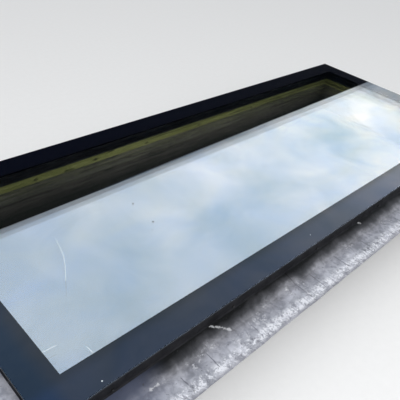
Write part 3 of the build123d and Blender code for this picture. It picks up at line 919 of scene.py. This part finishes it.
def cloud_lift(tree, plane):
    """How much wisps and soft patches lift the light of the sky."""
    wisps = clouds(tree, stretched(tree, plane, (1.6, 1.6, 1.0), (2.3, 0.7, 0.0)), 2.8, 6.0, 0.60, 0.6)
    lift = maths(tree, "MULTIPLY", maths(tree, "SUBTRACT", wisps, 0.54), 0.85)
    shift = node(tree, "TexNoise", {"Vector": plane, "Scale": 3.0, "Detail": 3.0}).outputs["Color"]
    swirled = vector_maths(tree, "ADD", plane, vector_maths(tree, "MULTIPLY", shift, (SWIRL, SWIRL, 0.0)))
    for x, y, size, strength in CLOUDS:
        middle = (x + SWIRL / 2, y + SWIRL / 2, SWIRL / 2)
        away = vector_maths(tree, "DISTANCE", swirled, middle, "Value")
        lift = maths(tree, "ADD", lift, steps(tree, away, size * 0.2, size * 1.2, strength, 0.0))
    return lift


def cloud_colour(tree, plane, lift):
    """The colour that the clouds multiply the sky by, warmer in some places and cooler in others."""
    patches = clouds(tree, stretched(tree, plane, (1.0, 1.3, 1.0), (0.4, 5.2, 0.0)), 3.4, 4.0, 0.5, 0.8)
    warmth = maths(tree, "MULTIPLY", maths(tree, "SUBTRACT", patches, 0.5), 0.42)
    channels = {}
    for index, (lift_gain, warm_gain) in enumerate(CLOUD_CHANNELS):
        lifted = maths(tree, "MULTIPLY_ADD", lift, lift_gain, 1.0)
        channels[index] = maths(tree, "MULTIPLY_ADD", warmth, warm_gain, lifted)
    return node(tree, "CombineColor", channels).outputs[0]


def tinted_sides(tree, sky, over_x, over_y):
    """The sky tinted low down and at its near end, and calm beyond its far end and behind the viewer."""
    low_tint = blend(tree, steps(tree, over_x, 1.85, 2.25), (1.12, 1.17, 1.33), (0.98, 0.91, 0.94))
    low = blend(tree, steps(tree, over_y, 0.59, 0.625), low_tint, WHITE)
    near = blend(tree, steps(tree, over_x, 0.29, 0.34), (0.66, 0.88, 1.14), WHITE)
    sky = multiplied(tree, multiplied(tree, sky, low), near)
    calm = maths(tree, "MAXIMUM", steps(tree, over_x, 2.75, 3.3), steps(tree, over_y, 0.40, 0.0))
    return blend(tree, calm, sky, CALM_SKY)


def wall_shade(tree, over_x, past_wall):
    """The share of the sky's light that the two steps before the wall's edge leave."""
    shade = 1.0
    for before, growth, half, places, shares in WALL_STEPS:
        past = maths(tree, "MULTIPLY_ADD", over_x, growth, maths(tree, "ADD", past_wall, before))
        left = held(tree, past, half, steps(tree, over_x, *places, *shares))
        shade = maths(tree, "MULTIPLY", shade, left)
    return shade


def reflected_sky(tree, over_x, over_y):
    """An overcast sky with soft clouds, dimmed in two steps before the dark wall that ends it."""
    plane = node(tree, "CombineXYZ", {0: over_x, 1: over_y, 2: 0.0}).outputs[0]
    clouded = cloud_colour(tree, plane, cloud_lift(tree, plane))
    sky = multiplied(tree, sky_gradient(tree, over_x), clouded)
    sky = tinted_sides(tree, sky, over_x, over_y)
    slanted = maths(tree, "SUBTRACT", over_y, maths(tree, "MULTIPLY", over_x, WALL_SLANT))
    past_wall = maths(tree, "SUBTRACT", slanted, WALL_EDGE)
    sky = shaded(tree, sky, wall_shade(tree, over_x, past_wall))
    return blend(tree, steps(tree, past_wall, -0.003, 0.002), sky, WALL_COLOUR)


def studio_world():
    """Soft neutral light, a white background, and an overcast sky with a dark wall in reflections."""
    world = bpy.data.worlds.new("studio")
    bpy.context.scene.world = world
    world.use_nodes = True
    tree = world.node_tree
    tree.nodes.clear()
    path = node(tree, "LightPath")
    direction = node(tree, "TexCoord").outputs["Generated"]
    split = node(tree, "SeparateXYZ", {0: direction})
    rise = maths(tree, "MAXIMUM", split.outputs[2], LEAST_RISE)
    over_x = maths(tree, "DIVIDE", split.outputs[0], rise)
    over_y = maths(tree, "DIVIDE", split.outputs[1], rise)
    sky = reflected_sky(tree, over_x, over_y)
    seen = maths(tree, "MAXIMUM", path.outputs["Is Camera Ray"], path.outputs["Is Transmission Ray"])
    colour = blend(tree, seen, SOFT_LIGHT, WHITE)
    colour = blend(tree, path.outputs["Is Glossy Ray"], colour, sky)
    background = node(tree, "Background", {"Color": colour, "Strength": 1.0}).outputs[0]
    node(tree, "OutputWorld", {"Surface": background})


def studio_floor():
    """A plain pale floor under the kerb."""
    half = FLOOR_HALF
    mesh = bpy.data.meshes.new("floor")
    mesh.from_pydata([(-half, -half, 0), (half, -half, 0), (half, half, 0), (-half, half, 0)], [],
                     [(0, 1, 2, 3)])
    floor = bpy.data.objects.new("floor", mesh)
    bpy.context.scene.collection.objects.link(floor)
    material, tree = new_material("floor")
    speckle = clouds(tree, object_point(tree), 30.0, 4.0)
    tone = blend(tree, speckle, *FLOOR_TONES)
    finish_surface(tree, principled(tree, Base_Color=tone, Roughness=0.9, Specular_IOR_Level=0.1))
    mesh.materials.append(material)


def area_lamp(name, shape, place, power):
    """A soft lamp that no surface mirrors, and the object that holds it."""
    lamp = bpy.data.lights.new(name, "AREA")
    lamp.shape = shape
    lamp.energy = power
    holder = bpy.data.objects.new(name, lamp)
    holder.location = place
    holder.visible_glossy = False
    bpy.context.scene.collection.objects.link(holder)
    return lamp, holder


def key_lamp():
    """The large soft lamp above the eaves."""
    lamp, holder = area_lamp("key", "DISK", KEY_LAMP_AT, KEY_LAMP_POWER)
    lamp.size = KEY_LAMP_SIZE
    holder.rotation_mode = "QUATERNION"
    holder.rotation_quaternion = (Vector(KEY_LAMP_AIM) - Vector(KEY_LAMP_AT)).to_track_quat("-Z", "Y")


def well_lamp():
    """Soft light from the room below, inside the kerb."""
    lamp, holder = area_lamp("room", "RECTANGLE", WELL_LAMP_AT, WELL_LAMP_POWER)
    lamp.size, lamp.size_y = WELL_LAMP_SIZE
    holder.rotation_euler = (pi, 0.0, 0.0)
    holder.visible_camera = False
    holder.visible_transmission = False


def camera():
    """The camera at the photograph's place."""
    data = bpy.data.cameras.new("camera")
    data.sensor_fit = "HORIZONTAL"
    data.sensor_width = SENSOR_WIDTH
    data.lens = LENS
    data.clip_start, data.clip_end = CAMERA_CLIP
    holder = bpy.data.objects.new("camera", data)
    back = -CAMERA_FORWARD.normalized()
    right = CAMERA_UP.cross(back).normalized()
    up = back.cross(right)
    turned = Matrix((right, up, back)).transposed().to_4x4()
    holder.matrix_world = Matrix.Translation(CAMERA_AT) @ turned
    bpy.context.scene.collection.objects.link(holder)
    bpy.context.scene.camera = holder


lead_flashing(lead_patina())
dress_cad_nodes()
studio_world()
studio_floor()
key_lamp()
well_lamp()
camera()
bpy.context.scene.view_settings.view_transform = "Standard"
bpy.context.scene.cycles.transparent_max_bounces = CLEAR_FACES
